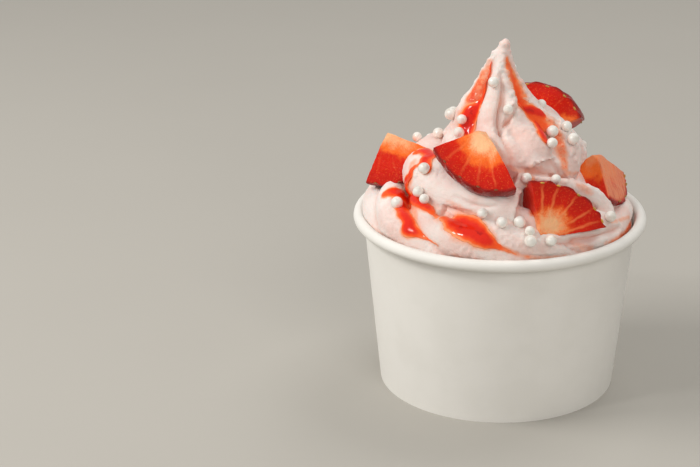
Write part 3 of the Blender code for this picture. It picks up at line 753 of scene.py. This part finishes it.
def iceFinish():
    look = Finish("softIce", Specular_IOR_Level=0.35, Coat_Roughness=0.12, Subsurface_Weight=0.3,
                  Subsurface_Radius=(1.0, 0.6, 0.5), Subsurface_Scale=1.4 * mm)
    at = look.place()
    stain = look.value("stain")
    creaseShade = look.value("creaseShade")
    clouds = look.grain(at, swirl["cloudSize"] * mm, 3.0)
    ice = look.grain(at, swirl["iceSize"] * mm, 4.0, 0.7)
    crystals = look.cells(at, swirl["crystalSize"] * mm)
    base = look.blend(clouds.fade(0.38, 0.66) * 0.85, swirl["pale"], swirl["pink"])
    # painted crease shade: the creases get the darker fold colour
    base = look.blend(creaseShade * 0.8, base, swirl["fold"])
    streaks = look.grain(at, swirl["streakSize"] * mm, 3.0, 0.6)
    # on the cone's lobe and in the crevice these sauce colours are painted shade
    wet = (stain + (streaks - 0.5) * 0.6 * stain.fade(0.0, 0.3)).fade(0.04, 0.8)
    colour = look.blend(wet * 0.92, base, sauce["film"])
    colour = look.blend(stain.fade(0.5, 0.8) * streaks.fade(0.35, 0.6) * 0.75, colour, sauce["thin"])
    colour = look.blend(stain.fade(0.8, 1.05) * 0.9, colour, sauce["full"])
    height = ice * 0.7 + crystals * 0.3 + clouds * 0.3
    return look.wear(Base_Color=colour, Roughness=0.62 - wet * 0.3 - ice * 0.12,
                     Coat_Weight=stain.fade(0.2, 0.7) * 0.6,
                     Normal=look.relief(height, swirl["iceDepth"] * mm))


strawberrySauce = makeSauce(iceCream)
closeBelow(iceCream)
stainAndShadeIce(iceCream)
smoothUpTo(iceCream, swirl["smoothAngle"])
dress(iceCream, iceFinish(), "ice_cream", "ice_cream")
dress(strawberrySauce, sauceFinish(), "ice_cream", "ice_cream")
print("sauce made,", len(strawberrySauce.data.polygons), "faces")


pearls = {
    "radius": 1.95, "smallest": 0.82, "sizeTurn": 2.4, "sunk": 0.6, "subdivisions": 4,
    "lumpSize": 2.6, "uneven": 0.04,
    # a pearl is moved until it has this room to the wedges, and left out where it has less than the least
    "room": 0.5, "leastRoom": 0.2, "moves": 4, "berryDepth": 8.0,
    # each as azimuth, level
    "places": ((-16, 97), (8, 86.5), (-85, 76), (-62, 78), (-55, 71), (-108, 60), (105, 81), (62, 71),
               (45, 65), (72, 68), (67, 62), (-108, 50.5), (-49, 48), (-47, 39), (-42, 35), (-57, 28),
               (-8, 35), (1, 29), (10, 30), (13, 25), (13, 21), (21, 20.5), (18, 49), (12, 45), (36, 48.5),
               (59, 24), (160, 99), (148, 62), (164, 88), (171, 57), (186, 74), (203, 83), (219, 60),
               (238, 71), (105, 33), (128, 41), (149, 24), (160, 38), (178, 30), (201, 24), (230, 46),
               (252, 37)),
    # grey is partly painted sheen, the grey reflections on the pearls
    "white": (0.93, 0.90, 0.84), "grey": (0.66, 0.58, 0.48),
    "sheenSize": 1.8, "pitSize": 0.35, "pitDepth": 0.05,
}


def pearlCentre(place, normal):
    return place + normal * (pearls["radius"] - pearls["sunk"]) * mm


def fromSkin(centre, berry):              # nearest place on a wedge, the way from it, and how far outwards
    _, near, normal, _ = berry.closest_point_on_mesh(centre)
    offset = centre - near
    return near, offset, offset.dot(normal)


def movedClear(centre, berries):
    room = (pearls["radius"] + pearls["room"]) * mm
    for berry in berries:
        near, offset, outwards = fromSkin(centre, berry)
        if outwards > 0.0 and offset.length < room:
            centre = near + offset * (room / offset.length)
    return pearlCentre(*surface.find_nearest(centre)[:2])


def nearBerry(centre, berries):
    for berry in berries:
        _, offset, outwards = fromSkin(centre, berry)
        inside = outwards < 0.0 and offset.length < pearls["berryDepth"] * mm
        if inside or offset.length < (pearls["radius"] + pearls["leastRoom"]) * mm:
            return True
    return False


def makePearls():
    berries = [node for name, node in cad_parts.items() if name.startswith("strawberry")]
    balls = []
    bpy.ops.object.select_all(action="DESELECT")
    for i, (azimuth, level) in enumerate(pearls["places"]):
        centre = pearlCentre(*landing(surface, azimuth, level))
        for _ in range(pearls["moves"]):
            centre = movedClear(centre, berries)
        if nearBerry(centre, berries):
            continue
        bpy.ops.mesh.primitive_ico_sphere_add(subdivisions=pearls["subdivisions"],
                                              radius=pearls["radius"] * mm)
        ball = bpy.context.object
        points = readPoints(ball.data)
        lumps = 1.0 + noiseAt(points, pearls["lumpSize"] * mm, i) * pearls["uneven"]
        size = 1.0 - (1.0 - pearls["smallest"]) * (0.5 + 0.5 * math.sin(pearls["sizeTurn"] * i))
        writePoints(ball.data, points * lumps[:, None] * size + np.array(centre))
        balls.append(ball)
    joined = joinPieces(balls, "sugarPearls")
    bpy.ops.object.shade_smooth()
    return joined


def pearlFinish():
    look = Finish("sugarPearl", Metallic=0.2, Coat_Weight=0.7, Coat_Roughness=0.08, Specular_IOR_Level=0.5)
    at = look.place()
    sheen = look.grain(at, pearls["sheenSize"] * mm, 2.0)
    pits = look.grain(at, pearls["pitSize"] * mm, 3.0)
    # painted sheen: grey patches stand in for the pearls' reflections, with a little grey of the pits' own
    sheenAndPitTone = sheen.fade(0.45, 0.7) * 0.45 + pits.fade(0.55, 0.8) * 0.3
    return look.wear(Base_Color=look.blend(sheenAndPitTone, pearls["white"], pearls["grey"]),
                     Roughness=0.26 + pits * 0.16,
                     Normal=look.relief(pits + sheen, pearls["pitDepth"] * mm))


sugarPearls = makePearls()
dress(sugarPearls, pearlFinish(), "ice_cream", "ice_cream")
print("pearls made")


wedge = {
    "sides": 96, "rings": 64, "voxel": 0.3, "softenRounds": 4, "smoothAngle": 50,
    "bluntWay": (1, 1, -0.5),              # from the corner into the wedge
    "skinFrom": 0.80, "skinSpan": 0.16,    # where the pits start, as a share of the way out
    "ripples": ((5.0, 8, 0.25), (1.3, 9, 0.10)),                       # lump size, seed, height
    "seedRows": (6, 90, 14), "seedSpacing": 5.6, "seedShift": 3, "seedTurn": 5, "seedClear": 0.2,
    "dimpleDepth": 1.15, "dimpleRadius": 1.6, "seedSunk": 0.12,
    "seed": (0.75, 0.5, 0.3),              # half length, half width, half thickness
    "seedSides": 12, "seedRings": 8, "seedPoint": 0.35,
    "darkSeed": 0.85, "darkBelow": 0.3,    # seeds less golden than this are dark, and this much smaller
    "pale": (0.92, 0.52, 0.27), "orange": (0.94, 0.17, 0.022), "red": (0.66, 0.015, 0.003),
    "deep": (0.48, 0.008, 0.003), "ray": (0.90, 0.22, 0.065), "skin": (0.24, 0.007, 0.005),
    "salmon": (0.82, 0.28, 0.14),
    "seedGold": (0.75, 0.42, 0.07), "seedGreen": (0.42, 0.34, 0.06), "seedDark": (0.20, 0.03, 0.012),
    "cellSize": 0.5, "patchSize": 3.5, "fleshDepth": 0.26, "huskSize": 0.4, "huskDepth": 0.05,
    "rayWander": 0.10, "rayWidth": (0.034, 0.004),
}
# place, turn and size (shoulder radius, length, fullness) are as in the CAD, and blunt is how much of the
# corner is gone. Notches are pits in the skin beside the cut face at firstAzimuth, with a ray to each. The
# core is a place and a reach, out from the axis and down it, and the orange goes this many times its reach.
berries = {
    "strawberry_left": {
        "place": (-37.6, 0.4, 84.6), "turn": (-26, 12, -23), "size": (18.0, 18.0, 2.1), "blunt": 2.2,
        "notches": (20, 52, 80), "firstAzimuth": 0,
        "gold": 0.2, "core": (0.10, 0.04, 0.50, 0.17), "paleness": 0.8, "orange": 1.75,
        "rays": 0.15, "broken": 0.9},
    "strawberry_front": {
        "place": (-4.8, -20.6, 93.7), "turn": (-24, 47, 92), "size": (18.2, 23.6, 2.1), "blunt": 3.0,
        "notches": (14, 33, 52, 70), "firstAzimuth": 90,
        "gold": 0.1, "core": (0.15, 0.20, 0.25, 0.24), "paleness": 1.0, "orange": 1.6,
        "rays": 0.65, "broken": 0.5},
    "strawberry_right_front": {
        "place": (13.1, -39.9, 64.0), "turn": (-99, -68, 120), "size": (18.6, 22.3, 1.75), "blunt": 1.2,
        "notches": (12, 27, 46, 65, 80), "firstAzimuth": 0,
        "gold": 0.9, "core": (0.22, 0.17, 0.20, 0.22), "paleness": 0.9, "orange": 1.35,
        "rays": 1.0, "broken": 0.25},
    "strawberry_right": {
        "place": (31.5, 3.2, 78.1), "turn": (-46, 37, 45), "size": (17.2, 19.3, 2.0), "blunt": 2.0,
        "notches": (18, 42, 66), "firstAzimuth": 0,
        "gold": 0.5, "core": (0.0, 0.0, 0.30, 0.28), "paleness": 0.4, "orange": 1.9,
        "rays": 0.3, "broken": 0.5, "salmonSide": 0.9},
    "strawberry_back": {
        "place": (8.5, 16.6, 78.5), "turn": (-140, -57, 122), "size": (18.4, 20.1, 2.0), "blunt": 1.5,
        "notches": (16, 38, 60, 78), "firstAzimuth": 0,
        "gold": 0.7, "core": (0.0, 0.50, 0.14, 0.32), "paleness": 0.3, "orange": 1.4,
        "rays": 0.35, "broken": 0.9},
}


def berryFrame(spec):
    turn = Euler([math.radians(angle) for angle in spec["turn"]])
    return Matrix.Translation(Vector(spec["place"]) * mm) @ turn.to_matrix().to_4x4()


# a point of the skin and the way out there, in the wedge's own millimetres
def skinPlace(spec, along, azimuth):
    radius, length, fullness = spec["size"]
    a = math.radians(min(max(along, 0.5), 89.5))
    across = radius * math.cos(a) ** (2 / fullness)
    down = length * math.sin(a) ** (2 / fullness)
    outAcross = (across / radius) ** (fullness - 1) / radius
    outDown = (down / length) ** (fullness - 1) / length
    steep = math.hypot(outAcross, outDown)
    turn = math.radians(azimuth)
    out = Vector((math.cos(turn) * outAcross, math.sin(turn) * outAcross, -outDown)) / steep
    return Vector((math.cos(turn) * across, math.sin(turn) * across, -down)), out


def seedPlaces(spec):                     # pits at the notches first, then in rows, where there is room
    places = [skinPlace(spec, along, spec["firstAzimuth"]) for along in spec["notches"]]
    clear = wedge["seedClear"] * spec["size"][0]
    for i, along in enumerate(range(*wedge["seedRows"])):
        across = max((skinPlace(spec, along, 0)[0]).x, 1.0)
        count = max(int(round(across * math.pi / 2 / wedge["seedSpacing"])), 1)
        for j in range(count + 1):
            azimuth = 90.0 * (j + 0.5 * (i % 2)) / count
            shift = wedge["seedShift"] * math.sin(wedge["seedTurn"] * j + i)
            place = skinPlace(spec, along + shift, azimuth)
            if azimuth <= 90.0 and min((place[0] - other[0]).length for other in places) > clear:
                places.append(place)
    return places


def makeBerry(name, spec):
    radius, length, fullness = spec["size"]
    bpy.ops.object.select_all(action="DESELECT")
    bpy.ops.mesh.primitive_uv_sphere_add(segments=wedge["sides"], ring_count=wedge["rings"], radius=1)
    berry = bpy.context.object
    points = readPoints(berry.data)
    across = np.hypot(points[:, 0], points[:, 1])
    wider = radius * across ** (2 / fullness) / np.maximum(across, 1e-6)
    points[:, :2] *= wider[:, None]
    points[:, 2] = length * np.sign(points[:, 2]) * np.abs(points[:, 2]) ** (2 / fullness)
    writePoints(berry.data, points)
    setMode("EDIT")
    for side in ((1, 0, 0), (0, 1, 0), (0, 0, -1)):
        cutOff((0, 0, 0), side)
    cutOff((spec["blunt"], 0, 0), wedge["bluntWay"])
    setMode("OBJECT")
    fuseSkin(berry, wedge["voxel"], wedge["softenRounds"])
    points = readPoints(berry.data)
    across = np.hypot(points[:, 0], points[:, 1])
    down = np.maximum(-points[:, 2], 0.0) / length
    inner = ((across / radius) ** fullness + down ** fullness) ** (1 / fullness)
    nearSkin = asShare((inner - wedge["skinFrom"]) / wedge["skinSpan"])
    moved = points.copy()
    for place, out in seedPlaces(spec):
        away = np.linalg.norm(points - np.array(place), axis=1)
        dent = np.exp(-(away / wedge["dimpleRadius"]) ** 2) * nearSkin * wedge["dimpleDepth"]
        moved -= dent[:, None] * np.array(out)
    ripple = sum(noiseAt(points, size, seed) * height for size, seed, height in wedge["ripples"])
    moved += readNormals(berry.data) * ripple[:, None]
    place = np.array(berryFrame(spec))
    writePoints(berry.data, (moved * mm) @ place[:3, :3].T + place[:3, 3])
    first, *others = name.split("_")
    berry.name = first + "".join(word.title() for word in others)
    smoothUpTo(berry, wedge["smoothAngle"])
    return berry


def makeSeeds():
    seeds = []
    bpy.ops.object.select_all(action="DESELECT")
    for spec in berries.values():
        place = berryFrame(spec)
        small = wedge["darkSeed"] if spec["gold"] < wedge["darkBelow"] else 1.0
        size = Matrix.Diagonal((*(value * small for value in wedge["seed"]), 1.0))
        for local, out in seedPlaces(spec):
            bpy.ops.mesh.primitive_uv_sphere_add(segments=wedge["seedSides"], ring_count=wedge["seedRings"],
                                                 radius=mm)
            seed = bpy.context.object
            down = (Vector((0, 0, -1)) + out * out.z).normalized()
            side = down.cross(out)
            turn = Matrix((down, side, out)).transposed().to_4x4()
            sunk = Matrix.Translation((local - out * (wedge["dimpleDepth"] - wedge["seedSunk"])) * mm)
            points = readPoints(seed.data)
            points[:, 1] *= 1.0 - wedge["seedPoint"] * points[:, 0] / mm          # pointed at one end
            matrix = np.array(place @ sunk @ turn @ size)
            writePoints(seed.data, points @ matrix[:3, :3].T + matrix[:3, 3])
            writeValues(seed.data, "gold", np.full(len(points), spec["gold"]))
            seeds.append(seed)
    joined = joinPieces(seeds, "strawberrySeeds")
    faceOutwards(joined)
    bpy.ops.object.shade_smooth()
    return joined


def berryFinish(name, spec):
    radius, length, fullness = spec["size"]
    look = Finish(name, Coat_Roughness=0.06, Coat_IOR=1.4, Specular_IOR_Level=0.2, Subsurface_Weight=0.2,
                  Subsurface_Radius=(1.0, 0.3, 0.15), Subsurface_Scale=0.8 * mm)
    at = look.place()
    local = look.add("ShaderNodeMapping", {"vector_type": "TEXTURE"},
                     {"Vector": at, "Location": Vector(spec["place"]) * mm, "Scale": (mm, mm, mm),
                      "Rotation": Euler([math.radians(angle) for angle in spec["turn"]])})
    x, y, z = (look.add("ShaderNodeSeparateXYZ", {}, {"Vector": local}, axis) for axis in range(3))
    across = (x * x + y * y) ** 0.5 / radius
    down = look.calc("MAXIMUM", z * -1.0, 0.0) / length
    inner = (across ** fullness + down ** fullness) ** (1 / fullness)
    angle = look.calc("ARCTAN2", down, across)
    turn = look.calc("ARCTAN2", y, x)
    polar = look.add("ShaderNodeCombineXYZ", {}, {"X": angle * 11.0, "Y": inner * 2.2, "Z": turn * 4.0})
    fibres = look.grain(polar, 1.0, 3.0, 0.6)
    cells = look.grain(local, wedge["cellSize"], 2.0, 0.6)
    patches = look.grain(local, wedge["patchSize"], 2.0)
    wander = (patches - 0.5) * wedge["rayWander"]
    ray = None
    for notch in spec["notches"]:
        along = math.radians(notch)
        bearing = math.atan2(math.sin(along) ** (2 / fullness), math.cos(along) ** (2 / fullness))
        here = look.calc("ABSOLUTE", (angle - bearing + wander) * inner).fade(*wedge["rayWidth"])
        ray = here if ray is None else look.calc("MAXIMUM", ray, here)
    ray = ray * inner.fade(0.2, 0.4) * inner.fade(0.98, 0.78) * spec["rays"]
    ray = ray * (1.0 - patches.fade(0.40, 0.58) * spec["broken"])
    coreAcross, coreDown, reachAcross, reachDown = spec["core"]
    reach = (((across - coreAcross) / reachAcross) ** 2 + ((down - coreDown) / reachDown) ** 2) ** 0.5
    reach = reach + (fibres - 0.5) * 0.5 + (patches - 0.5) * 1.4 + (cells - 0.5) * 0.6
    ripe = inner.fade(0.55, 1.02) * 0.85 + (fibres - 0.5) * 0.7
    colour = look.blend(ripe, wedge["red"], wedge["deep"])
    colour = look.blend(reach.fade(spec["orange"] + 0.35, spec["orange"] - 0.45), colour, wedge["orange"])
    colour = look.blend(ray * (1.0 - inner * 0.45), colour, wedge["ray"])
    colour = look.blend(reach.fade(1.35, 0.35) * spec["paleness"], colour, wedge["pale"])
    colour = look.blend(cells.fade(0.56, 0.70) * inner.fade(0.2, 0.6) * 0.45, colour, wedge["orange"])
    if "salmonSide" in spec:
        side = y.fade(0.9, 0.3) * inner.fade(0.97, 0.88)
        streaks = look.add("ShaderNodeCombineXYZ", {}, {"X": across * 34.0, "Y": down * 3.0})
        lines = look.grain(streaks, 1.0, 2.0)
        pale = spec["salmonSide"] - lines.fade(0.48, 0.66) * 0.55
        colour = look.blend(side * pale, colour, wedge["salmon"])
    skin = inner.fade(0.93, 0.985)
    colour = look.blend(skin * 0.92, colour, wedge["skin"])
    height = fibres * 0.5 + cells * 0.7 + ray * 0.3
    return look.wear(Base_Color=colour, Roughness=0.42 - skin * 0.16,
                     Coat_Weight=cells.fade(0.5, 0.66) * 0.35 + skin * 0.3,
                     Normal=look.relief(height, wedge["fleshDepth"] * mm))


def seedFinish():
    look = Finish("strawberrySeed", Specular_IOR_Level=0.5, Coat_Weight=0.4, Coat_Roughness=0.15)
    at = look.place()
    patches = look.grain(at, 3.0 * mm, 1.0)
    husk = look.grain(at, wedge["huskSize"] * mm, 3.0)
    colour = look.blend(patches.fade(0.45, 0.7), wedge["seedGold"], wedge["seedGreen"])
    colour = look.blend(look.value("gold"), wedge["seedDark"], colour)
    return look.wear(Base_Color=colour, Roughness=0.3 + husk * 0.2,
                     Normal=look.relief(husk, wedge["huskDepth"] * mm))


for name, spec in berries.items():
    berry = makeBerry(name, spec)
    dress(berry, berryFinish(berry.name, spec), "strawberry", name)
strawberrySeeds = makeSeeds()
dress(strawberrySeeds, seedFinish(), "strawberry")
print("strawberries made")


stage = {
    "floorSize": 4.0, "floorColour": (0.44, 0.42, 0.38), "floorPatch": 90.0, "floorDim": 0.96,
    "sky": (1.0, 0.98, 0.95), "skyStrength": 0.42,
    # lights as place, size, power, colour, and whether shiny surfaces show them; all point at the target
    "target": (0, 0, 0.07),
    "lights": {
        "key": ((-0.75, -0.10, 0.60), 0.45, 5.2, (1.0, 0.98, 0.95), False),
        "window": ((-0.55, -0.45, 0.75), 0.09, 1.2, (1.0, 1.0, 1.0), True),
        "fill": ((0.35, -0.85, 0.65), 0.5, 3.1, (1.0, 0.98, 0.95), False),
        "back": ((0.30, 0.40, 0.90), 0.5, 3.0, (1.0, 0.99, 0.97), False),
    },
    "cameraPlace": (0, -0.61822, 0.28998), "cameraTurn": 4.5634, "cameraTilt": 68.76, "cameraRoll": -0.33,
    "imageWidth": 700, "focalPixels": 2000, "sensor": 36.0, "clipStart": 0.01,
}


def makeStage():
    bpy.ops.mesh.primitive_plane_add(size=stage["floorSize"])
    floor = bpy.context.object
    floor.name = "floor"
    look = Finish("floor", Specular_IOR_Level=0.3)
    clouds = look.grain(look.place(), stage["floorPatch"] * mm, 2.0)
    shade = tuple(value * stage["floorDim"] for value in stage["floorColour"])
    floor.data.materials.append(look.wear(Base_Color=look.blend(clouds, stage["floorColour"], shade),
                                          Roughness=0.6 + clouds * 0.05))
    sky = bpy.data.worlds.new("sky")
    sky.use_nodes = True
    background = sky.node_tree.nodes["Background"]
    background.inputs["Color"].default_value = (*stage["sky"], 1.0)
    background.inputs["Strength"].default_value = stage["skyStrength"]
    bpy.context.scene.world = sky
    for name, (place, size, power, colour, shiny) in stage["lights"].items():
        bpy.ops.object.light_add(type="AREA", location=place)
        light = bpy.context.object
        light.name = name
        light.data.size = size
        light.data.energy = power
        light.data.color = colour
        light.visible_glossy = shiny
        aim = Vector(stage["target"]) - Vector(place)
        light.rotation_euler = aim.to_track_quat("-Z", "Y").to_euler()


def makeCamera():
    bpy.ops.object.camera_add(location=stage["cameraPlace"])
    camera = bpy.context.object
    camera.data.sensor_width = stage["sensor"]
    camera.data.lens = stage["focalPixels"] / stage["imageWidth"] * stage["sensor"]
    camera.data.clip_start = stage["clipStart"]
    turn = Matrix.Rotation(math.radians(stage["cameraTurn"]), 3, "Z")
    tilt = Matrix.Rotation(math.radians(stage["cameraTilt"]), 3, "X")
    roll = Matrix.Rotation(math.radians(stage["cameraRoll"]), 3, "Z")
    camera.rotation_euler = (turn @ tilt @ roll).to_euler()
    bpy.context.scene.camera = camera


makeStage()
makeCamera()
bpy.context.scene.view_settings.view_transform = "Standard"
print("stage set")
